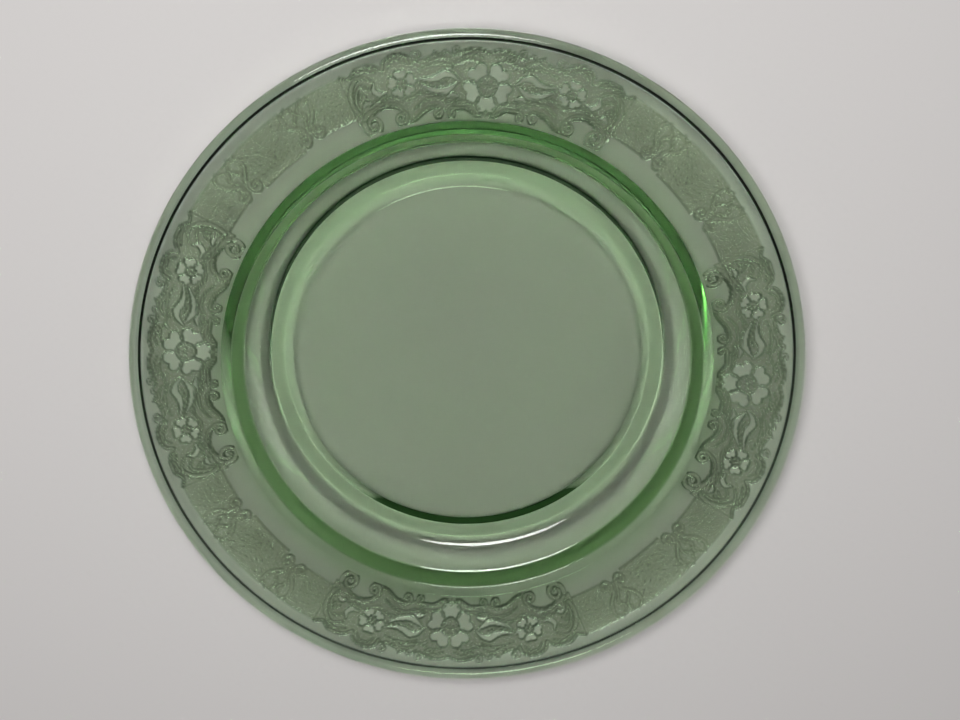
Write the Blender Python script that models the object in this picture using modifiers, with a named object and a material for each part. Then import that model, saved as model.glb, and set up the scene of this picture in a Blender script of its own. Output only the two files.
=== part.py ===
"""Pressed glass plate: a wide flat rim, a well with a stepped wall, and a foot ring.

The plate is one turned solid. It stands on its foot ring in metres, +Z up, with the
origin at the centre of the foot's resting plane. Its section is two outlines of corner
points with rounded corners, one for the upper face and one for the underside.
"""
import math

import bpy

# ---- driving dimensions, in metres ----------------------------------------------------
RIM_DIAMETER = 0.2032        # across the rim, the plate's nominal 8 inch size
HEIGHT = 0.0210              # resting plane to the top of the rim

# upper face, from the centre outwards
WELL_RADIUS = 0.0625         # flat floor of the well, out to the foot of its wall
WALL_WIDTH = 0.0053          # sloping wall from the floor up to the small ledge
WALL_RISE = 0.0071
LEDGE_WIDTH = 0.0007         # narrow ledge below the step
LEDGE_RISE = 0.0002
STEP_WIDTH = 0.0024          # steep step from the ledge up to the rim
RIM_DROP = 0.0030            # the rim's rise from its inner corner to its edge

# underside
RIM_WALL = 0.0029            # glass thickness of the rim, square to the upper face
FLOOR = 0.0033               # glass thickness of the well's floor
RECESS = 0.0019              # hollow under the floor, above the resting plane
SHOULDER = 0.0040            # underside's corner, outside the rim's inner corner
FOOT_INSET = 0.0019          # resting face's outer edge, inside the well's radius
FOOT_WIDTH = 0.0042          # flat width of the foot ring's resting face
FOOT_INNER_SLOPE = 0.0032    # run of the foot ring's inner side, up to the hollow
BEAD_WIDTH = 0.0024          # thickened band along the rim's edge
BEAD_DEPTH = 0.0013          # how far that band stands below the rim's underside
BEAD_SLOPE = 0.0010          # run of the band's inner side

# rounded corners, by radius
EDGE_ROUND = 0.0018
RIM_CORNER_ROUND = 0.0010
LEDGE_ROUND = 0.0008
UNDER_ROUND = 0.0015
FLOOR_ROUND = 0.0040
FOOT_ROUND = 0.0005
FOOT_INNER_ROUND = 0.0020
BEAD_ROUND = 0.0001
BEAD_HOLLOW = 0.0006        # rounding where the bead's slope meets the rim

# ---- fineness of the faceted solid ----------------------------------------------------
TURN_STEPS = 96
ARC_STEP_ANGLE = math.radians(32)
MERGE_DISTANCE = 0.00002
SIDE_SHARE = 0.45            # most of a straight side that one rounded corner may take
STRAIGHT = 1e-4              # a turn below this angle, in radians, needs no arc

NODE = "plate"
GLASS_COLOUR = (0.55, 0.80, 0.52, 1.0)
GLASS_ROUGHNESS = 0.04
GLASS_IOR = 1.51


def unit(start, end):
    """Unit vector from one section point to another, and the distance between them."""
    run, rise = end[0] - start[0], end[1] - start[1]
    length = math.hypot(run, rise)
    return (run / length, rise / length), length


def below(start, end, thickness):
    """The line that runs below a straight stretch of the upper face, as (point, direction)."""
    (ux, uz), _ = unit(start, end)
    return (start[0] + uz * thickness, start[1] - ux * thickness), (ux, uz)


def meeting(line_a, line_b):
    """Point where two lines of the section cross."""
    (px, pz), (ux, uz) = line_a
    (qx, qz), (vx, vz) = line_b
    along = ((qx - px) * vz - (qz - pz) * vx) / (ux * vz - uz * vx)
    return px + ux * along, pz + uz * along


def rounded(corners):
    """Outline through (radius, height, rounding) corners, each one turned into an arc.

    An arc touches both sides of its corner. Its radius is limited by the shorter side,
    so that neighbouring arcs never run into each other.
    """
    outline = [corners[0][:2]]
    for before, corner, after in zip(corners, corners[1:], corners[2:]):
        (ux, uz), run_in = unit(corner, before)
        (vx, vz), run_out = unit(corner, after)
        opening = math.acos(max(-1.0, min(1.0, ux * vx + uz * vz)))
        turn = math.pi - opening
        if corner[2] == 0 or turn < STRAIGHT:
            outline.append(corner[:2])
            continue
        tangent = min(corner[2] * math.tan(turn / 2), run_in * SIDE_SHARE, run_out * SIDE_SHARE)
        radius = tangent / math.tan(turn / 2)
        middle_x, middle_z = ux + vx, uz + vz
        middle = math.hypot(middle_x, middle_z)
        reach = radius / math.sin(opening / 2)
        centre_x = corner[0] + middle_x / middle * reach
        centre_z = corner[1] + middle_z / middle * reach
        first = math.atan2(corner[1] + uz * tangent - centre_z,
                           corner[0] + ux * tangent - centre_x)
        last = math.atan2(corner[1] + vz * tangent - centre_z,
                          corner[0] + vx * tangent - centre_x)
        sweep = (last - first + math.pi) % (2 * math.pi) - math.pi
        pieces = max(1, math.ceil(abs(sweep) / ARC_STEP_ANGLE))
        for step in range(pieces + 1):
            angle = first + sweep * step / pieces
            outline.append((centre_x + radius * math.cos(angle),
                            centre_z + radius * math.sin(angle)))
    outline.append(corners[-1][:2])
    return outline


def section():
    """The plate's section: the upper face outwards, the edge, the underside inwards."""
    floor_top = RECESS + FLOOR
    ledge_inner = WELL_RADIUS + WALL_WIDTH
    ledge_outer = ledge_inner + LEDGE_WIDTH
    rim_inner = ledge_outer + STEP_WIDTH
    rim_outer = RIM_DIAMETER / 2
    rim_slope = math.atan2(RIM_DROP, rim_outer - rim_inner)
    edge_lift = EDGE_ROUND * (math.tan(rim_slope) + 1 / math.cos(rim_slope) - 1)

    corner = (rim_inner, HEIGHT - RIM_DROP)
    edge = (rim_outer, HEIGHT + edge_lift)
    rim_line = below(corner, edge, RIM_WALL)

    def under_rim(radius):
        """Height of the rim's plain underside at a radius."""
        return meeting(rim_line, ((radius, 0.0), (0.0, 1.0)))[1]

    under_corner = rim_inner + SHOULDER
    bead_inner = rim_outer - BEAD_WIDTH
    bead_top = bead_inner - BEAD_SLOPE
    foot_outer = WELL_RADIUS - FOOT_INSET
    foot_inner = foot_outer - FOOT_WIDTH

    return rounded([
        (0.0, floor_top, 0),
        (WELL_RADIUS, floor_top, FLOOR_ROUND),
        (ledge_inner, floor_top + WALL_RISE, LEDGE_ROUND),
        (ledge_outer, floor_top + WALL_RISE + LEDGE_RISE, LEDGE_ROUND),
        (*corner, RIM_CORNER_ROUND),
        (*edge, EDGE_ROUND),
        (rim_outer, under_rim(rim_outer) - BEAD_DEPTH, EDGE_ROUND),
        (bead_inner, under_rim(bead_inner) - BEAD_DEPTH, BEAD_ROUND),
        (bead_top, under_rim(bead_top), BEAD_HOLLOW),
        (under_corner, under_rim(under_corner), UNDER_ROUND),
        (foot_outer, 0.0, FOOT_ROUND),
        (foot_inner, 0.0, FOOT_ROUND),
        (foot_inner - FOOT_INNER_SLOPE, RECESS, FOOT_INNER_ROUND),
        (0.0, RECESS, 0),
    ])


def turned_solid(name, outline, collection):
    """A closed body of revolution: the outline swept once round Z by a Screw modifier."""
    mesh = bpy.data.meshes.new(name)
    points = [(radius, 0.0, height) for radius, height in outline]
    edges = [(index, index + 1) for index in range(len(points) - 1)]
    mesh.from_pydata(points, edges, [])
    body = bpy.data.objects.new(name, mesh)
    collection.objects.link(body)
    screw = body.modifiers.new("turn", 'SCREW')
    screw.axis = 'Z'
    screw.angle = 2 * math.pi
    screw.steps = TURN_STEPS
    screw.render_steps = TURN_STEPS
    screw.use_merge_vertices = True
    screw.merge_threshold = MERGE_DISTANCE
    screw.use_smooth_shade = True
    return body


def glass():
    """Clear pale green pressed glass."""
    material = bpy.data.materials.new("green_glass")
    material.use_nodes = True
    shader = material.node_tree.nodes["Principled BSDF"]
    shader.inputs["Base Color"].default_value = GLASS_COLOUR
    shader.inputs["Roughness"].default_value = GLASS_ROUGHNESS
    shader.inputs["Metallic"].default_value = 0.0
    shader.inputs["IOR"].default_value = GLASS_IOR
    shader.inputs["Transmission Weight"].default_value = 1.0
    return material


def main():
    """Clear the scene and model the plate."""
    for old in list(bpy.data.objects):
        bpy.data.objects.remove(old)
    collection = bpy.data.collections.new("glass_plate")
    bpy.context.scene.collection.children.link(collection)
    plate = turned_solid(NODE, section(), collection)
    plate.data.materials.append(glass())


main()
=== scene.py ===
"""Looks of a flat-rimmed plate of pressed uranium glass, with a moulded flower border."""
import math
import bpy
import numpy as np
from mathutils import Matrix, Vector


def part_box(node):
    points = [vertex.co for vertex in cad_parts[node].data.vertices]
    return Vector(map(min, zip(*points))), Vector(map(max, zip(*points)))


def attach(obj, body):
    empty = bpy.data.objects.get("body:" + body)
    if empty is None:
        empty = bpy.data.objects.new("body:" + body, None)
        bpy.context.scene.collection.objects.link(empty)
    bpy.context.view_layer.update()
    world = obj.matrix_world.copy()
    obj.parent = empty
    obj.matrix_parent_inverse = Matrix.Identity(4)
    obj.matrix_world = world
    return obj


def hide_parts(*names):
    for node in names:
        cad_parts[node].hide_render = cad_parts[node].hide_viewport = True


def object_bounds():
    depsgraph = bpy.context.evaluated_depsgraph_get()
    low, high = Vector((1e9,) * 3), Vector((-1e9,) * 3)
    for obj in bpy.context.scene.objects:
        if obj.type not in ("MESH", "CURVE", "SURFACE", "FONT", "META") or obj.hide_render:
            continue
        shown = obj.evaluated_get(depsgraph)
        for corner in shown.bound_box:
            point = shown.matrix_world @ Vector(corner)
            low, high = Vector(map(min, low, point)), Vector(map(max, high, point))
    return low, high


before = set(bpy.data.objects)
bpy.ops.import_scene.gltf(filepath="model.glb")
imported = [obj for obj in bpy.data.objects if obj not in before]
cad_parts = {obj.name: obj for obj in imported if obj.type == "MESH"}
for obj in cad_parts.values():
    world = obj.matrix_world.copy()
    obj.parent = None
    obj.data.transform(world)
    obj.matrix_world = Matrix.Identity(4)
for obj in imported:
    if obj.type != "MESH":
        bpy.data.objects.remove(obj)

CAD_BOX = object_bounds()
MM = 0.001

# ------------------------------------------------------------------ the plate's section
WELL_RADIUS = 62.5 * MM
WALL_WIDTH = 5.3 * MM
WALL_RISE = 7.1 * MM
LEDGE_WIDTH = 0.7 * MM
LEDGE_RISE = 0.2 * MM
STEP_WIDTH = 2.4 * MM
RIM_DROP = 3.0 * MM
RIM_WALL = 2.9 * MM
FLOOR = 3.3 * MM
RECESS = 1.9 * MM
SHOULDER = 4.0 * MM
FOOT_INSET = 1.9 * MM
FOOT_WIDTH = 4.2 * MM
FOOT_INNER_SLOPE = 3.2 * MM
BEAD_WIDTH = 2.4 * MM
BEAD_DEPTH = 1.3 * MM
BEAD_SLOPE = 1.0 * MM
EDGE_ROUND = 1.8 * MM
RIM_CORNER_ROUND = 1.0 * MM
LEDGE_ROUND = 0.8 * MM
UNDER_ROUND = 1.5 * MM
FLOOR_ROUND = 4.0 * MM
FOOT_ROUND = 0.5 * MM
FOOT_INNER_ROUND = 2.0 * MM
BEAD_ROUND = 0.1 * MM
BEAD_HOLLOW = 0.6 * MM
SIDE_SHARE = 0.45
ARC_STEP = math.radians(10)
FLAT_STEP = 9 * MM

# ------------------------------------------------------------------ the turned mesh
PLAIN_SECTORS = 240
BAND_SECTORS = 1440
BAND_ROWS = 52
BAND_INNER = 75.7 * MM
BAND_OUTER = 97.6 * MM
BAND_JOIN = 0.1 * MM                 # gap between the band's end rings and the plain ones
FADE_ROWS = 2

# ------------------------------------------------------------------ the pressed border
MIDDLE = 86.5                        # radius, in mm, that lengths along the border are measured at
SPRAY_ANGLE = math.radians(86.46)
SPRAYS = 4
HALF_REPEAT = math.pi * MIDDLE / SPRAYS
FIELD_RISE = 0.16
RIB_RISE = 0.30
BEAD_RISE = 0.16
SOFT = 0.22
FIELD_SOFT = 0.3
PETAL_SOFT = 0.16
RIB_SLOPE = 0.5
RIB_FOOT = 0.35                      # how far a rib's smooth step has run at the rib's edge
RIB_LINE = 0.02                      # how far outside a rib's edge its outline of painted shade runs
RIB_AROUND = 0.4                     # beyond the ground, painted shade along lines runs only this near to a rib
RIB_STIPPLE = 0.9
FIELD_LINE = 0.1                     # how far inside the border its outline of painted shade runs
FRAME_WIDTH = 0.6
FRAME_SHARE = 0.6
# painted shade along outlines: its width, how far outside petals and leaves it runs, and its share
LINE_WIDTH = 0.22
OUTLINE_SHIFT = 0.25
OUTLINE_SHARE = 0.9
PANEL_CALM = 0.3                     # how much of the painted shade the panels lose
MARGIN_INNER = 93.0
FLANK_FALL = 0.09                    # fall in mm, from one row to the next, that gets the full painted shade
INWARD = 0.7
INWARD_FROM = 84.0
INWARD_OVER = 6.0
SPRAY_END = 40.9
PAST_REPEAT = HALF_REPEAT + 9        # a panel drawn past the repeat's end, where it mirrors
PANEL_TOP = 95.0
FRAME_TOP = 93.6
PANEL_A = ((40.5, 82.2), (51.5, PANEL_TOP))        # lowest and highest (s, r) of each panel
PANEL_B = ((59.3, 81.3), (PAST_REPEAT, PANEL_TOP))
FRAME_A = ((41.6, 83.3), (49.9, FRAME_TOP))
FRAME_B = ((61.3, 82.4), (PAST_REPEAT, FRAME_TOP))
BETWEEN = ((50.5, 83.4), (60.0, 94.7))             # ground of the upright scrolls
FRAME_CORNER = 1.2
BETWEEN_CORNER = 1.5
CALM_FROM = 40.0
CALM_OVER = 3.0
HATCH_INSET = 1.4
HATCH_SOFT = 0.2
SPRAY_MIDDLE = (0, 85.2)
BIG_FLOWER = 7.1
BIG_HEART = 3.05
SIDE_MIDDLE = (24.7, 87.9)
SMALL_FLOWER = 4.1
SMALL_HEART = 1.6
CURL_POINTS = 22                     # points on one turn of a scroll's curl

# ------------------------------------------------------------------ glass, floor, lights
# painted shade: a darker green on the step of the upper face, standing in for the deep green that light
# gathers on its long way through the thick wall
STEP_SHADED = (67.2, 1.5, 72.0, 1.5)   # in mm: starts at, rises over, ends at, falls over
# painted shade on the bead's inner slope under the rim's edge, dark as the lines: zone in mm, as for the
# step, and share
SLOPE_SHADED = (97.7, 0.4, 99.9, 0.5)
SLOPE_SHARE = 0.55
SLOPE_DEPTH = 0.6 * RIM_WALL         # only points deeper than this below the top get the painted shade
GLASS_INDEX = 1.51
GLASS_GREEN = (0.22, 0.90, 0.06, 1.0)
GLASS_DENSITY = 45.0
# painted shade and highlight: the plain underside is greyed, while polished petals and leaves, the rim's
# outer margin and the upper face are left clear and so read brighter
PLAIN_SHADE_TINT = (0.60, 0.595, 0.58, 1.0)
POLISH_HIGHLIGHT_TINT = (1.0, 1.0, 1.0, 1.0)
GROUND_TINT = (0.36, 0.375, 0.31, 1.0)
# painted shade: the dark colour along outlines, on relief falling towards the well, round the beads'
# rims and on the bead's slope
PAINTED_SHADE_TINT = (0.07, 0.095, 0.06, 1.0)
# the step's painted shade
STEP_SHADE_TINT = (0.24, 0.49, 0.18, 1.0)
# share of the painted shade along lines
PAINTED_SHADE_SHARE = 1.0
GROUND_GRAIN = 1.1
GROUND_LEAST = 0.35
GROUND_FROST = 0.2
STIPPLE_PITCH = 0.85                 # in mm, as the border's own lengths are
HATCH_PITCH = 0.65
HATCH_WARP = 12.0
HATCH_WARP_SCALE = 2.0
HATCH_DETAIL = 1.0
WAVE_UNIT = math.pi / 10             # scale at which the ring pattern repeats once a unit
PIT_DEPTH = 0.08 * MM
FLOOR_COLOUR = (0.62, 0.60, 0.59, 1.0)
FLOOR_ROUGHNESS = 0.8
FLOOR_GAP = 0.3 * MM
FLOOR_HALF = 2.0
SENSOR_WIDTH = 36.0
CAMERA_LENS = 68.83
CAMERA_TILT = math.radians(-16.03)
CAMERA_TURN = math.radians(-1.24)
CAMERA_SET_BACK = (3.56 * MM, 2.95 * MM, 552.2 * MM)
SIGHT_DROP = 1.6 * MM                # the camera's aim lies this far below the plate's top
SOFT_LAMP_PLACE = (-0.05, 0.08, 0.25)
SOFT_LAMP_SIZE = 0.36
SOFT_LAMP_POWER = 5.4
GLINT_LAMP_PLACE = (-0.02, 0.05, 0.0)
GLINT_LAMP_SIZE = 0.02
GLINT_LAMP_POWER = 0.2
SURROUND = (0.06, 0.06, 0.06, 1.0)


def unit(start, end):
    """Unit vector from one section point to another, and the distance between them."""
    run, rise = end[0] - start[0], end[1] - start[1]
    length = math.hypot(run, rise)
    return (run / length, rise / length), length


def arc_at(before, corner, after):
    """Points of the arc that rounds one (radius, height, rounding) corner.

    The arc touches both sides; its tangent length is the rounding times the tangent of half
    the turn, and at most SIDE_SHARE of the shorter side.
    """
    (ux, uz), run_in = unit(corner, before)
    (vx, vz), run_out = unit(corner, after)
    opening = math.acos(max(-1.0, min(1.0, ux * vx + uz * vz)))
    turn = math.pi - opening
    tangent = min(corner[2] * math.tan(turn / 2), run_in * SIDE_SHARE, run_out * SIDE_SHARE)
    radius = tangent / math.tan(turn / 2)
    middle = math.hypot(ux + vx, uz + vz)
    reach = radius / math.sin(opening / 2)
    centre = np.array([corner[0] + (ux + vx) / middle * reach,
                       corner[1] + (uz + vz) / middle * reach])
    first = math.atan2(corner[1] + uz * tangent - centre[1], corner[0] + ux * tangent - centre[0])
    last = math.atan2(corner[1] + vz * tangent - centre[1], corner[0] + vx * tangent - centre[0])
    sweep = (last - first + math.pi) % (2 * math.pi) - math.pi
    angles = first + sweep * np.linspace(0, 1, max(2, math.ceil(abs(sweep) / ARC_STEP) + 1))
    return centre + radius * np.column_stack([np.cos(angles), np.sin(angles)])


def outline(corners):
    """Section line through (radius, height, rounding) corners, straight runs cut at FLAT_STEP."""
    runs = [np.array([corners[0][:2]])]
    runs += [arc_at(*three) for three in zip(corners, corners[1:], corners[2:])]
    runs.append(np.array([corners[-1][:2]]))
    line = [runs[0]]
    for run in runs[1:]:
        gap = np.linalg.norm(run[0] - line[-1][-1])
        steps = math.ceil(gap / FLAT_STEP)
        share = np.linspace(0, 1, steps + 1)[1:-1, None]
        line.append(line[-1][-1] + (run[0] - line[-1][-1]) * share)
        line.append(run)
    return np.concatenate(line)


def section(rim_radius, height):
    """The section in two lines, and a function for the rim's plain underside between them.

    The first line runs from the well's middle over the upper face and the edge to the band's
    outer end; the second from the band's inner end under the wall and foot to the middle.
    """
    floor_top = RECESS + FLOOR
    ledge_inner = WELL_RADIUS + WALL_WIDTH
    ledge_outer = ledge_inner + LEDGE_WIDTH
    rim_inner = ledge_outer + STEP_WIDTH
    rim_slope = math.atan2(RIM_DROP, rim_radius - rim_inner)
    edge_lift = EDGE_ROUND * (math.tan(rim_slope) + 1 / math.cos(rim_slope) - 1)
    corner = (rim_inner, height - RIM_DROP)
    edge = (rim_radius, height + edge_lift)
    (ux, uz), _ = unit(corner, edge)
    rim_line = (corner[0] + uz * RIM_WALL, corner[1] - ux * RIM_WALL), (ux, uz)

    def under_rim(radius):
        """Height of the rim's plain underside at a radius: a straight cone."""
        return rim_line[0][1] + (radius - rim_line[0][0]) * uz / ux

    bead_inner = rim_radius - BEAD_WIDTH
    bead_top = bead_inner - BEAD_SLOPE
    under_corner = rim_inner + SHOULDER
    foot_outer = WELL_RADIUS - FOOT_INSET
    foot_inner = foot_outer - FOOT_WIDTH
    upper = outline([
        (0.0, floor_top, 0),
        (WELL_RADIUS, floor_top, FLOOR_ROUND),
        (ledge_inner, floor_top + WALL_RISE, LEDGE_ROUND),
        (ledge_outer, floor_top + WALL_RISE + LEDGE_RISE, LEDGE_ROUND),
        (*corner, RIM_CORNER_ROUND),
        (*edge, EDGE_ROUND),
        (rim_radius, under_rim(rim_radius) - BEAD_DEPTH, EDGE_ROUND),
        (bead_inner, under_rim(bead_inner) - BEAD_DEPTH, BEAD_ROUND),
        (bead_top, under_rim(bead_top), BEAD_HOLLOW),
        (BAND_OUTER + BAND_JOIN, under_rim(BAND_OUTER + BAND_JOIN), 0),
    ])
    lower = outline([
        (BAND_INNER - BAND_JOIN, under_rim(BAND_INNER - BAND_JOIN), 0),
        (under_corner, under_rim(under_corner), UNDER_ROUND),
        (foot_outer, 0.0, FOOT_ROUND),
        (foot_inner, 0.0, FOOT_ROUND),
        (foot_inner - FOOT_INNER_SLOPE, RECESS, FOOT_INNER_ROUND),
        (0.0, RECESS, 0),
    ])
    return upper, lower, under_rim


# ------------------------------------------------------------------ drawing on the border
# A drawing works on s, the length along the border from a spray's middle, and r, the distance
# from the plate's axis, both in mm. Only half a repeat is drawn, and the rest mirrors it.

def ramp(value):
    """Smooth step: 0 below 0, 1 above 1, and 3v^2 - 2v^3 between."""
    value = np.clip(value, 0, 1)
    return value * value * (3 - 2 * value)


def inside(distance, soft=SOFT):
    """1 where a signed distance is well below 0, fading to 0 over soft mm on either side."""
    return ramp(0.5 - distance / (2 * soft))


def curve(*points, pieces=10):
    """Smooth line through a few points: on each run the cubic whose end slopes are half the
    step between the neighbours (Catmull-Rom)."""
    points = np.array(points, dtype=float)
    ends = np.vstack([2 * points[0] - points[1], points, 2 * points[-1] - points[-2]])
    t = np.linspace(0, 1, pieces, endpoint=False)[:, None]
    runs = []
    for a, b, c, d in zip(ends, ends[1:], ends[2:], ends[3:]):
        runs.append(0.5 * (2 * b + (c - a) * t + (2 * a - 5 * b + 4 * c - d) * t ** 2
                           + (3 * b - a - 3 * c + d) * t ** 3))
    runs.append(points[-1:])
    return np.vstack(runs)


def curl(centre, radius, start, turns, last=0.25):
    """A scroll's curl: a spiral whose radius falls evenly to a share `last`, over signed turns."""
    t = np.linspace(0, 1, max(6, int(abs(turns) * CURL_POINTS)))[:, None]
    angle = math.radians(start) + 2 * math.pi * turns * t
    reach = radius * (1 - (1 - last) * t)
    return np.array(centre) + reach * np.hstack([np.cos(angle), np.sin(angle)])


FAR = 1e3                            # farther, in mm, than anything on the border


def near(s, r, line, width):
    """Distance to a line less its half width, in mm, below 0 on the stroke.

    The distance is that to the nearest of the line's straight pieces; the half width runs
    through the values of `width` evenly along the line.
    """
    widths = np.interp(np.linspace(0, 1, len(line)), np.linspace(0, 1, len(width)), width)
    best = np.full(s.shape, FAR)
    for (ax, ay), (bx, by), wa, wb in zip(line, line[1:], widths, widths[1:]):
        dx, dy = bx - ax, by - ay
        t = np.clip(((s - ax) * dx + (r - ay) * dy) / max(dx * dx + dy * dy, 1e-9), 0, 1)
        reach = np.hypot(s - ax - dx * t, r - ay - dy * t) - (wa + (wb - wa) * t)
        best = np.minimum(best, reach)
    return best


# (degrees from the petal's middle, distance from the flower's, radius), as shares of its radius
PETAL_DISCS = ((0, 0.58, 0.29), (-15, 0.78, 0.215), (15, 0.78, 0.215))


def flower(s, r, centre, radius, tilt):
    """Signed distance to a five-petal flower, and the distance from its centre.

    Each petal is a disc with two smaller discs along its outer edge, whose union gives
    the lobes; sizes are shares of the flower's radius.
    """
    across, out = (s - centre[0]) * centre[1] / MIDDLE, r - centre[1]
    best = np.full(s.shape, FAR)
    for petal in range(5):
        for turn, reach, size in PETAL_DISCS:
            angle = math.radians(tilt + 72 * petal + turn)
            x, y = radius * reach * math.cos(angle), radius * reach * math.sin(angle)
            best = np.minimum(best, np.hypot(across - x, out - y) - radius * size)
    return best, np.hypot(across, out)


def box(s, r, low, high, corner=0.5):
    """Signed distance to a rectangle with rounded corners.

    It is the distance to the rectangle shrunk by the corner's radius, less that radius.
    """
    dx = np.abs(s - (low[0] + high[0]) / 2) - (high[0] - low[0]) / 2 + corner
    dy = np.abs(r - (low[1] + high[1]) / 2) - (high[1] - low[1]) / 2 + corner
    return np.hypot(np.maximum(dx, 0), np.maximum(dy, 0)) + np.minimum(np.maximum(dx, dy), 0) - corner


INNER_LINE = curve((-3, 77.5), (0, 77.0), (3, 77.5), (6.2, 79.0), (9.4, 79.0), (12.4, 78.7),
                   (16.2, 79.9), (19.4, 79.4), (22.3, 77.8), (24.6, 77.2), (25.6, 79.0),
                   (27.3, 81.5), (31.0, 82.9), (34.8, 82.3), (37.6, 80.9), (40.2, 80.6))
OUTER_LINE = curve((-3, 96.0), (0, 95.2), (4.0, 96.2), (8.0, 95.0), (11.6, 94.6), (14.4, 95.4),
                   (17.2, 93.8), (20.7, 94.2), (22.2, 95.9), (25.0, 96.8), (27.8, 95.9),
                   (29.3, 94.0), (31.5, 95.4), (35.5, 95.8), (38.2, 94.2), (40.6, 95.2))

SCROLLS = [
    # (line, half widths): the inner border's ribs, from a spray's middle to the panels
    (np.vstack([curve((0, 76.9), (3.2, 77.4), (6.2, 79.1), (9.4, 79.2)),
                curl((10.9, 77.8), 1.45, 105, -1.2)]), (0.6, 0.55, 0.5, 0.35)),
    (np.vstack([curve((25.2, 76.9), (22.3, 77.8), (19.4, 79.5), (16.4, 80.1)),
                curl((15.6, 78.3), 1.75, 78, 1.25)]), (0.35, 0.6, 0.55, 0.35)),
    (np.vstack([curve((36.8, 81.2), (34.6, 82.5), (31.0, 83.0), (27.3, 81.7), (25.5, 79.4)),
                curl((27.4, 78.6), 2.0, 165, 1.3)]), (0.6, 0.75, 0.65, 0.4)),
    (np.vstack([curve((33.2, 82.6), (37.0, 82.2), (39.4, 80.2)),
                curl((36.5, 79.0), 3.0, 25, -1.45)]), (0.5, 0.75, 0.7, 0.4)),
    (curve((0, 77.2), (0.9, 76.2), (0, 75.9)), (0.7, 0.5, 0.3)),
    (curve((2.0, 79.0), (4.6, 80.4), (7.4, 81.0), (10.4, 80.4)), (0.2, 0.4, 0.2)),
    # the outer border's ribs
    (np.vstack([curve((0, 95.0), (3.6, 96.0), (7.4, 95.0)), curl((8.6, 95.6), 1.15, 250, 1.0)]),
     (0.4, 0.55, 0.35)),
    (np.vstack([curve((1.6, 93.4), (4.4, 94.6), (6.8, 93.6)), curl((5.4, 93.5), 0.9, 20, -1.0)]),
     (0.2, 0.4, 0.3)),
    (curve((9.6, 93.8), (11.6, 95.6), (12.6, 94.4), (14.6, 95.6)), (0.2, 0.45, 0.2)),
    (curve((10.4, 92.4), (12.8, 93.8), (15.4, 93.0), (17.6, 93.6)), (0.2, 0.45, 0.3)),
    (np.vstack([curve((16.2, 94.0), (18.3, 93.3), (20.2, 94.0)), curl((19.4, 95.1), 1.3, -50, 1.2)]),
     (0.3, 0.5, 0.35)),
    (curve((20.9, 93.0), (21.9, 95.4), (25.0, 96.5), (28.1, 95.4), (29.1, 93.0)), (0.45, 0.5, 0.45)),
    (curve((22.6, 93.2), (23.4, 94.4), (25.0, 95.0), (26.6, 94.4), (27.4, 93.2)), (0.2, 0.3, 0.2)),
    (curve((29.1, 93.0), (31.5, 95.0), (35.5, 95.4), (38.2, 93.8), (40.4, 94.9)), (0.4, 0.55, 0.4)),
    # the long leaves that close the spray
    (curve((32.6, 91.2), (35.8, 92.8), (38.8, 90.6), (40.2, 86.6), (39.6, 82.8)), (0.25, 0.75, 0.6)),
    (curve((33.6, 88.8), (36.2, 90.4), (38.2, 88.2), (38.9, 85.4), (38.2, 82.9)), (0.2, 0.5, 0.35)),
    (curve((31.2, 93.0), (34.4, 94.2), (37.4, 92.9)), (0.2, 0.4, 0.2)),
    (curve((35.6, 87.0), (36.8, 88.0), (37.6, 86.4)), (0.2, 0.4, 0.2)),
    # upright scrolls between the panels
    (np.vstack([curve((52.8, 94.9), (51.0, 93.2), (51.4, 89.6), (53.9, 86.4)),
                curl((52.4, 84.0), 1.9, 55, -1.3)]), (0.3, 0.6, 0.6, 0.35)),
    (curve((53.4, 94.4), (54.8, 92.0), (53.6, 89.6), (54.9, 87.4), (54.6, 84.6)), (0.2, 0.5, 0.45, 0.2)),
    (np.vstack([curve((57.6, 94.9), (59.8, 93.2), (59.4, 89.6), (56.4, 86.6)),
                curl((57.9, 83.8), 2.0, 120, 1.3)]), (0.3, 0.6, 0.6, 0.35)),
    (curve((56.6, 94.2), (55.8, 91.6), (57.4, 89.4), (56.2, 87.0)), (0.2, 0.45, 0.45, 0.2)),
    # veins in the spray's ground
    (curve((2.4, 92.2), (5.4, 92.9), (8.4, 91.6), (12.4, 91.4)), (0.15, 0.32, 0.15)),
    (curve((9.8, 90.4), (12.6, 91.9), (16.0, 91.9), (19.4, 91.0)), (0.15, 0.32, 0.15)),
    (curve((8.6, 81.6), (12.0, 81.1), (15.0, 82.3), (19.0, 82.0), (22.6, 80.4)), (0.15, 0.35, 0.15)),
    (curve((12.0, 83.0), (15.6, 83.4), (19.4, 84.2), (23.0, 83.2)), (0.15, 0.32, 0.15)),
    (curve((19.4, 84.9), (23.4, 83.0), (27.6, 84.2), (31.0, 86.0)), (0.15, 0.35, 0.15)),
    (curve((28.6, 85.2), (31.0, 84.4), (33.4, 85.0), (35.4, 83.8)), (0.15, 0.35, 0.15)),
    (curve((12.0, 86.6), (15.0, 85.9), (18.0, 86.6), (20.4, 87.4)), (0.12, 0.3, 0.12)),
]

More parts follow.
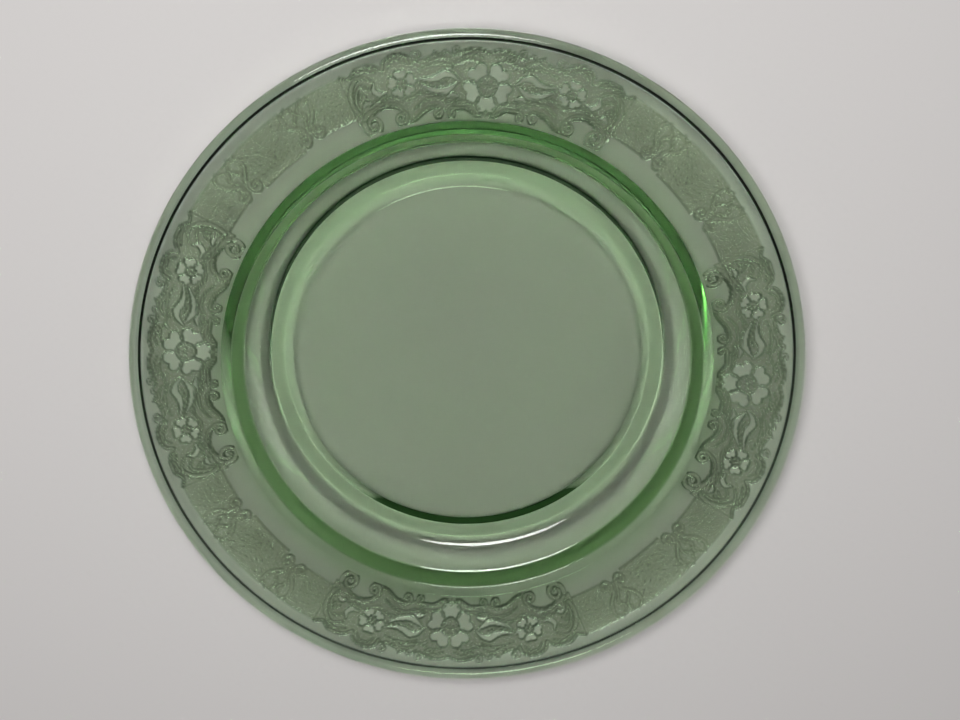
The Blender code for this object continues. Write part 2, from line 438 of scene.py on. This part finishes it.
LEAVES = [
    (curve((8.2, 86.4), (10.2, 88.4), (12.4, 89.0), (14.8, 87.9), (17.6, 87.9), (20.6, 88.6)),
     (0.1, 0.65, 1.0, 0.9, 0.5, 0.05)),
    (curve((8.9, 86.1), (10.8, 84.9), (13.2, 83.9), (16.0, 84.6), (19.8, 86.8)),
     (0.1, 0.65, 1.1, 0.8, 0.05)),
    (curve((29.8, 86.4), (31.8, 86.6), (33.0, 88.2), (32.4, 90.0)), (0.1, 0.75, 0.55, 0.05)),
    (curve((34.6, 84.6), (36.2, 85.3), (37.4, 84.4)), (0.1, 0.65, 0.1)),
    (curve((8.8, 82.3), (10.6, 82.9), (12.2, 82.2)), (0.1, 0.6, 0.1)),
    (curve((6.9, 90.7), (7.6, 91.4), (8.6, 91.8)), (0.1, 0.3, 0.1)),
    (curve((15.4, 94.9), (16.6, 95.0), (17.6, 94.6)), (0.1, 0.35, 0.1)),
]

BEADS = [
    # (centre, ring radius, bead radius, beads round the ring)
    (SPRAY_MIDDLE, 2.5, 0.75, 9),
    (SPRAY_MIDDLE, 0.9, 0.66, 3),
    (SIDE_MIDDLE, 1.35, 0.55, 6),
    (SIDE_MIDDLE, 0.0, 0.6, 1),
    ((52.4, 84.0), 0.0, 0.6, 1),
    ((57.9, 83.8), 0.0, 0.6, 1),
]


def strokes(s, r, drawn):
    """Signed distance to the nearest of several (line, half widths) strokes."""
    best = np.full(s.shape, FAR)
    for line, width in drawn:
        best = np.minimum(best, near(s, r, line, width))
    return best


def bead_domes(s, r):
    """Height of the beads, 1 at the top and 0 at the rim: the root of 1 - (reach / radius)^2."""
    domes = np.zeros(s.shape)
    for (across, out), ring, size, count in BEADS:
        for turn in 2 * math.pi * np.arange(count) / count:
            reach = np.hypot(s - across - ring * math.cos(turn), r - out - ring * math.sin(turn))
            domes = np.maximum(domes, np.sqrt(np.clip(1 - (reach / size) ** 2, 0, 1)))
    return domes


def pressed_ornament(s, r):
    """Relief in mm and the shares of stippled ground, painted shade, hatched panel and polish.

    The ground is a low plateau, between a scalloped outer and inner line and on the panels.
    Petals and leaves are cut back to the plain face and polished, and left clear as a painted
    highlight; ribs are smooth-sided ridges and beads are domes. The inner part of the drawing
    is moved INWARD mm towards the well. Outlines get painted shade, and so do the places where
    the relief falls towards the well and the beads' rims.
    """
    r = r + INWARD * ramp((INWARD_FROM - r) / INWARD_OVER)
    outer = np.interp(s, OUTER_LINE[:, 0], OUTER_LINE[:, 1])
    inner = np.interp(s, INNER_LINE[:, 0], INNER_LINE[:, 1])
    spray = np.maximum(np.maximum(r - outer, inner - r), s - SPRAY_END)
    hatched = np.minimum(box(s, r, *PANEL_A), box(s, r, *PANEL_B))
    panels = np.minimum(hatched, box(s, r, *BETWEEN, BETWEEN_CORNER))
    field = np.maximum(inside(spray, FIELD_SOFT), inside(panels, FIELD_SOFT))

    big, big_reach = flower(s, r, SPRAY_MIDDLE, BIG_FLOWER, -90)
    small, small_reach = flower(s, r, SIDE_MIDDLE, SMALL_FLOWER, 90)
    heart = np.minimum(big_reach - BIG_HEART, small_reach - SMALL_HEART)
    petals = np.maximum(np.minimum(big, small), -heart)
    leaves = strokes(s, r, LEAVES)
    polished = inside(np.minimum(petals, leaves), PETAL_SOFT)

    ribs = strokes(s, r, SCROLLS)
    frames = np.minimum(np.abs(box(s, r, *FRAME_A, FRAME_CORNER)),
                        np.abs(box(s, r, *FRAME_B, FRAME_CORNER)))
    ridge = np.maximum(ramp(RIB_FOOT - ribs / RIB_SLOPE),
                       FRAME_SHARE * ramp((FRAME_WIDTH - frames) / RIB_SLOPE))
    beads = bead_domes(s, r)

    ground = field * (1 - polished)
    relief = np.maximum(FIELD_RISE * ground, RIB_RISE * ridge)
    relief = np.maximum(relief, (FIELD_RISE + BEAD_RISE) * beads)
    # Painted shade: along every outline, where the relief falls towards the well, and round the beads'
    # rims.
    edges = np.minimum(np.abs(ribs - RIB_LINE), np.abs(np.minimum(petals, leaves) - OUTLINE_SHIFT))
    edges = np.minimum(edges, np.abs(np.minimum(spray, panels) + FIELD_LINE))
    drawn = np.exp(-(edges / LINE_WIDTH) ** 2) * np.maximum(field, inside(ribs - RIB_AROUND))
    falls = ramp(-np.gradient(relief, axis=0) / FLANK_FALL)
    shade = np.maximum(np.maximum(OUTLINE_SHARE * drawn, falls), (beads > 0) * (1 - beads) ** 0.5)
    shade = shade * (1 - PANEL_CALM * ramp((s - CALM_FROM) / CALM_OVER))
    stipple = np.maximum(ground, RIB_STIPPLE * inside(ribs))
    hatch = inside(np.maximum(hatched + HATCH_INSET, -ribs), HATCH_SOFT)
    # Polish: petals and leaves in the ground and the plain outer margin, left clear in colour as a
    # painted highlight.
    return {"relief": relief, "stipple": stipple, "shade": shade, "hatch": hatch,
            "polish_highlight": np.maximum(polished * field, (1 - field) * ramp(r - MARGIN_INNER))}


# ------------------------------------------------------------------ turning the plate

def ring_vertices(line, sectors):
    """Points of a section line carried round the axis: (radius cos a, radius sin a, height)."""
    angles = SPRAY_ANGLE + 2 * math.pi * np.arange(sectors) / sectors
    x = line[:, :1] * np.cos(angles)
    y = line[:, :1] * np.sin(angles)
    z = np.repeat(line[:, 1:], sectors, axis=1)
    return np.stack([x, y, z], axis=-1).reshape(-1, 3)


def ring_quads(first, rows, sectors):
    """Four-sided faces between neighbouring rings, wound so that they face outwards."""
    row = np.arange(rows - 1)[:, None] * sectors
    here = np.arange(sectors)[None, :]
    there = (here + 1) % sectors
    faces = np.stack([row + here, row + sectors + here, row + sectors + there, row + there], axis=-1)
    return first + faces.reshape(-1, 4)


def stitch(coarse, fine, coarse_first):
    """Triangles between a coarse ring and a fine one with a whole multiple of its sectors.

    Each fine side joins the nearest coarse point, and each coarse side the fine point that
    lies at its middle. `coarse` and `fine` are the first points of the two rings.
    """
    ratio = BAND_SECTORS // PLAIN_SECTORS
    step = np.arange(BAND_SECTORS)
    owner = ((step + ratio // 2) // ratio) % PLAIN_SECTORS
    small = np.stack([coarse + owner, fine + step, fine + (step + 1) % BAND_SECTORS], axis=-1)
    side = np.arange(PLAIN_SECTORS)
    large = np.stack([coarse + (side + 1) % PLAIN_SECTORS, coarse + side,
                      fine + side * ratio + ratio // 2], axis=-1)
    faces = np.vstack([small, large])
    return faces if coarse_first else faces[:, ::-1]


def pole(centre, ring, faces_up):
    """A fan of triangles from a centre point to a ring."""
    here = np.arange(PLAIN_SECTORS)
    there = (here + 1) % PLAIN_SECTORS
    faces = np.stack([np.full(PLAIN_SECTORS, centre), ring + here, ring + there], axis=-1)
    return faces if faces_up else faces[:, ::-1]


def folded_border():
    """The drawing on half a repeat, laid round the whole rim.

    Columns fold back and forth over the half repeat; rows run from the band's outer end in.
    Relief fades out over the first and last rows.
    """
    half = BAND_SECTORS // (2 * SPRAYS)
    radii = np.linspace(BAND_OUTER, BAND_INNER, BAND_ROWS)
    s, r = np.broadcast_arrays(np.linspace(0, HALF_REPEAT, half + 1)[None, :], (radii / MM)[:, None])
    drawn = pressed_ornament(s, r)
    rows = np.arange(BAND_ROWS)
    relief = drawn.pop("relief") * ramp(np.minimum(rows, rows[::-1]) / FADE_ROWS)[:, None]
    column = np.arange(BAND_SECTORS)
    fold = np.abs((column + half) % (2 * half) - half)
    drawn.update({"along": s, "out": r})
    return radii, relief[:, fold], {name: value[:, fold] for name, value in drawn.items()}


def zone(reach, start, rise, end, fall):
    """1 between two radii, rising smoothly after the first and falling before the second."""
    return ramp((reach - start) / rise) * ramp((end - reach) / fall)


def glass_plate():
    """The whole plate as one closed turned skin with the border pressed into its underside.

    Every point is the section's (radius cos a, radius sin a, height). On the band, the height is
    the plain underside's less the relief. The skin also carries the drawing's shares, and those
    of the step's painted shade, of the painted shade on the bead's slope and of the face left
    clear as a painted highlight.
    """
    low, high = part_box("plate")
    upper, lower, under_rim = section(high.x, high.z)
    lift = (high.z - low.z) / max(upper[:, 1].max(), high.z)
    radii, relief, drawn = folded_border()
    band_height = under_rim(radii)[:, None] - relief * MM
    angles = SPRAY_ANGLE + 2 * math.pi * np.arange(BAND_SECTORS) / BAND_SECTORS
    band = np.stack([radii[:, None] * np.cos(angles), radii[:, None] * np.sin(angles), band_height],
                    axis=-1).reshape(-1, 3)
    points = np.vstack([upper[:1, [0, 0, 1]], ring_vertices(upper[1:], PLAIN_SECTORS), band,
                        ring_vertices(lower[:-1], PLAIN_SECTORS), lower[-1:, [0, 0, 1]]])
    points[:, 2] *= lift

    rows_up, rows_low = len(upper) - 1, len(lower) - 1
    band_first = 1 + rows_up * PLAIN_SECTORS
    low_first = band_first + BAND_ROWS * BAND_SECTORS
    last = low_first + rows_low * PLAIN_SECTORS
    quads = np.vstack([ring_quads(1, rows_up, PLAIN_SECTORS),
                       ring_quads(band_first, BAND_ROWS, BAND_SECTORS),
                       ring_quads(low_first, rows_low, PLAIN_SECTORS)])
    triangles = np.vstack([
        pole(0, 1, True),
        stitch(band_first - PLAIN_SECTORS, band_first, True),
        stitch(low_first, low_first - BAND_SECTORS, False),
        pole(last, last - PLAIN_SECTORS, False),
    ])
    mesh = bpy.data.meshes.new("glass_plate")
    mesh.vertices.add(len(points))
    mesh.vertices.foreach_set("co", points.ravel())
    corners = np.concatenate([quads.ravel(), triangles.ravel()])
    mesh.loops.add(len(corners))
    mesh.loops.foreach_set("vertex_index", corners.astype(np.int32))
    sizes = np.concatenate([np.full(len(quads), 4), np.full(len(triangles), 3)])
    mesh.polygons.add(len(sizes))
    starts = np.concatenate([[0], np.cumsum(sizes)[:-1]])
    mesh.polygons.foreach_set("loop_start", starts.astype(np.int32))
    mesh.polygons.foreach_set("use_smooth", np.ones(len(sizes), dtype=bool))
    mesh.update(calc_edges=True)
    mesh.validate()
    reach = np.hypot(points[:band_first, 0], points[:band_first, 1]) / MM
    below = points[:band_first, 2] < high.z - SLOPE_DEPTH
    drawn["step_shade"] = np.zeros(BAND_ROWS * BAND_SECTORS)
    for name, values in drawn.items():
        whole = np.zeros(len(points), dtype=np.float32)
        whole[band_first:low_first] = values.ravel()
        # the step's painted shade, on the upper face
        if name == "step_shade":
            whole[:band_first] = zone(reach, *STEP_SHADED)
        # The upper face is left clear, so the grey of painted shade falls on the underside only.
        if name == "polish_highlight":
            whole[:band_first] = 1.0
        # painted shade on the bead's inner slope, on the underside only
        if name == "shade":
            whole[:band_first] = SLOPE_SHARE * zone(reach, *SLOPE_SHADED) * below
        mesh.attributes.new(name, 'FLOAT', 'POINT').data.foreach_set("value", whole)
    plate = bpy.data.objects.new("glass_plate", mesh)
    bpy.context.scene.collection.objects.link(plate)
    return plate


# ------------------------------------------------------------------ finishes

def node(tree, kind, place, **settings):
    """A new shader node at a place in the tree, with its settings."""
    made = tree.nodes.new(kind)
    made.location = place
    for name, value in settings.items():
        setattr(made, name, value)
    return made


def maths(tree, operation, first, second, place, third=0.0):
    """Output of a Math node; first is a socket, second a socket or a number, third a number."""
    made = node(tree, "ShaderNodeMath", place, operation=operation)
    made.inputs[2].default_value = third
    tree.links.new(first, made.inputs[0])
    if isinstance(second, float):
        made.inputs[1].default_value = second
    else:
        tree.links.new(second, made.inputs[1])
    return made.outputs["Value"]


def uranium_glass():
    """Clear yellow-green pressed glass, stippled in the border's ground.

    The colour comes from depth, and from tints on the skin: first plain glass, greyed as painted
    shade, or polished glass, left clear as a painted highlight; then the ground, the painted
    shade along the lines and the step's painted shade. Pits and scales roughen the ground and
    the panels.
    """
    material = bpy.data.materials.new("uranium_glass")
    material.use_nodes = True
    tree = material.node_tree
    shader = tree.nodes["Principled BSDF"]
    shader.inputs["Roughness"].default_value = 0.0
    shader.inputs["Metallic"].default_value = 0.0
    shader.inputs["IOR"].default_value = GLASS_INDEX
    shader.inputs["Transmission Weight"].default_value = 1.0
    depth = node(tree, "ShaderNodeVolumeAbsorption", (300, -300))
    depth.inputs["Color"].default_value = GLASS_GREEN
    depth.inputs["Density"].default_value = GLASS_DENSITY
    tree.links.new(depth.outputs["Volume"], tree.nodes["Material Output"].inputs["Volume"])

    shares = {}
    for row, name in enumerate(("stipple", "shade", "hatch", "polish_highlight", "step_shade", "along", "out")):
        read = node(tree, "ShaderNodeAttribute", (-1500, 500 - 180 * row), attribute_name=name)
        shares[name] = read.outputs["Fac"]

    border = node(tree, "ShaderNodeCombineXYZ", (-1250, -500))
    tree.links.new(shares["along"], border.inputs["X"])
    tree.links.new(shares["out"], border.inputs["Y"])
    pits = node(tree, "ShaderNodeTexVoronoi", (-1000, -400), voronoi_dimensions='2D')
    pits.inputs["Scale"].default_value = 1 / STIPPLE_PITCH
    tree.links.new(border.outputs["Vector"], pits.inputs["Vector"])
    scales = node(tree, "ShaderNodeTexWave", (-1000, -750), wave_type='RINGS',
                  rings_direction='SPHERICAL')
    scales.inputs["Scale"].default_value = WAVE_UNIT / HATCH_PITCH
    scales.inputs["Distortion"].default_value = HATCH_WARP
    scales.inputs["Detail"].default_value = HATCH_DETAIL
    scales.inputs["Detail Scale"].default_value = HATCH_WARP_SCALE
    tree.links.new(border.outputs["Vector"], scales.inputs["Vector"])
    unhatched = maths(tree, 'SUBTRACT', shares["stipple"], shares["hatch"], (-900, -550))
    stippled = maths(tree, 'MULTIPLY', pits.outputs["Distance"], unhatched, (-700, -400))
    hatched = maths(tree, 'MULTIPLY', scales.outputs["Fac"], shares["hatch"], (-700, -700))
    surface = maths(tree, 'ADD', stippled, hatched, (-500, -500))

    lively = maths(tree, 'MULTIPLY_ADD', surface, GROUND_GRAIN, (-1100, 700), GROUND_LEAST)
    shares["ground"] = maths(tree, 'MULTIPLY', lively, shares["stipple"], (-1000, 500))
    colour = None
    # Left clear where polished, as a painted highlight, and greyed as painted shade elsewhere; then the
    # ground, the painted shade along lines and the step's painted shade.
    for row, (name, share, tint) in enumerate((("polish_highlight", 1.0, POLISH_HIGHLIGHT_TINT),
                                               ("ground", 1.0, GROUND_TINT),
                                               ("shade", PAINTED_SHADE_SHARE, PAINTED_SHADE_TINT),
                                               ("step_shade", 1.0, STEP_SHADE_TINT))):
        amount = maths(tree, 'MULTIPLY', shares[name], share, (-900, 500 - 200 * row))
        mix = node(tree, "ShaderNodeMix", (-700 + 200 * row, 500), data_type='RGBA')
        mix.inputs["A"].default_value = PLAIN_SHADE_TINT
        mix.inputs["B"].default_value = tint
        tree.links.new(amount, mix.inputs["Factor"])
        if colour:
            tree.links.new(colour, mix.inputs["A"])
        colour = mix.outputs["Result"]
    tree.links.new(colour, shader.inputs["Base Color"])
    frost = maths(tree, 'MULTIPLY', shares["stipple"], GROUND_FROST, (-300, 100))
    tree.links.new(frost, shader.inputs["Roughness"])
    bump = node(tree, "ShaderNodeBump", (-250, -350))
    bump.inputs["Distance"].default_value = PIT_DEPTH
    tree.links.new(surface, bump.inputs["Height"])
    tree.links.new(bump.outputs["Normal"], shader.inputs["Normal"])
    return material


def studio_floor(base):
    """A wide plain pale floor just below the plate."""
    corners = [(x * FLOOR_HALF, y * FLOOR_HALF, base - FLOOR_GAP) for x, y in
               ((-1, -1), (1, -1), (1, 1), (-1, 1))]
    mesh = bpy.data.meshes.new("floor")
    mesh.from_pydata(corners, [], [(0, 1, 2, 3)])
    floor = bpy.data.objects.new("floor", mesh)
    bpy.context.scene.collection.objects.link(floor)
    material = bpy.data.materials.new("pale_floor")
    material.use_nodes = True
    shader = material.node_tree.nodes["Principled BSDF"]
    shader.inputs["Base Color"].default_value = FLOOR_COLOUR
    shader.inputs["Roughness"].default_value = FLOOR_ROUGHNESS
    mesh.materials.append(material)


# ------------------------------------------------------------------ camera and light

def camera_over(rim_centre):
    """The camera, set back from the rim's centre along its own axes."""
    camera = bpy.data.cameras.new("camera")
    camera.sensor_width = SENSOR_WIDTH
    camera.lens = CAMERA_LENS
    holder = bpy.data.objects.new("camera", camera)
    bpy.context.scene.collection.objects.link(holder)
    tilt = Matrix.Rotation(CAMERA_TILT, 4, 'X')
    turn = Matrix.Rotation(CAMERA_TURN, 4, 'Y')
    set_back = Matrix.Translation(CAMERA_SET_BACK)
    holder.matrix_world = Matrix.Translation(rim_centre) @ tilt @ turn @ set_back
    bpy.context.scene.camera = holder
    return holder


def disc_lamp(name, place, target, size, power):
    """A round soft lamp at a place, facing a target."""
    lamp = bpy.data.lights.new(name, 'AREA')
    lamp.shape = 'DISK'
    lamp.size = size
    lamp.energy = power
    holder = bpy.data.objects.new(name, lamp)
    holder.location = place
    holder.rotation_euler = (Vector(target) - Vector(place)).to_track_quat('-Z', 'Y').to_euler()
    bpy.context.scene.collection.objects.link(holder)


def studio(camera):
    """A soft lamp above the camera, a small one beside it for glints, and a dim surround.

    Light passes the glass without blurring on its way to the floor, so that the floor under
    the plate is lit as brightly as clear glass lets it be.
    """
    above = camera.matrix_world.translation + Vector(SOFT_LAMP_PLACE)
    disc_lamp("soft_lamp", above, (0, 0, 0), SOFT_LAMP_SIZE, SOFT_LAMP_POWER)
    beside = camera.matrix_world.translation + Vector(GLINT_LAMP_PLACE)
    disc_lamp("glint_lamp", beside, (0, 0, 0), GLINT_LAMP_SIZE, GLINT_LAMP_POWER)
    world = bpy.data.worlds.new("surround")
    world.use_nodes = True
    world.node_tree.nodes["Background"].inputs["Color"].default_value = SURROUND
    bpy.context.scene.world = world
    scene = bpy.context.scene
    scene.view_settings.view_transform = 'Standard'
    scene.view_settings.look = 'Medium High Contrast'
    scene.cycles.blur_glossy = 0.0


def main():
    """Make the plate, the floor, the camera and the light."""
    low, high = CAD_BOX
    plate = glass_plate()
    plate.data.materials.append(uranium_glass())
    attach(plate, "root")
    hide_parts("plate")
    studio_floor(low.z)
    studio(camera_over((0.0, 0.0, high.z - SIGHT_DROP)))


main()
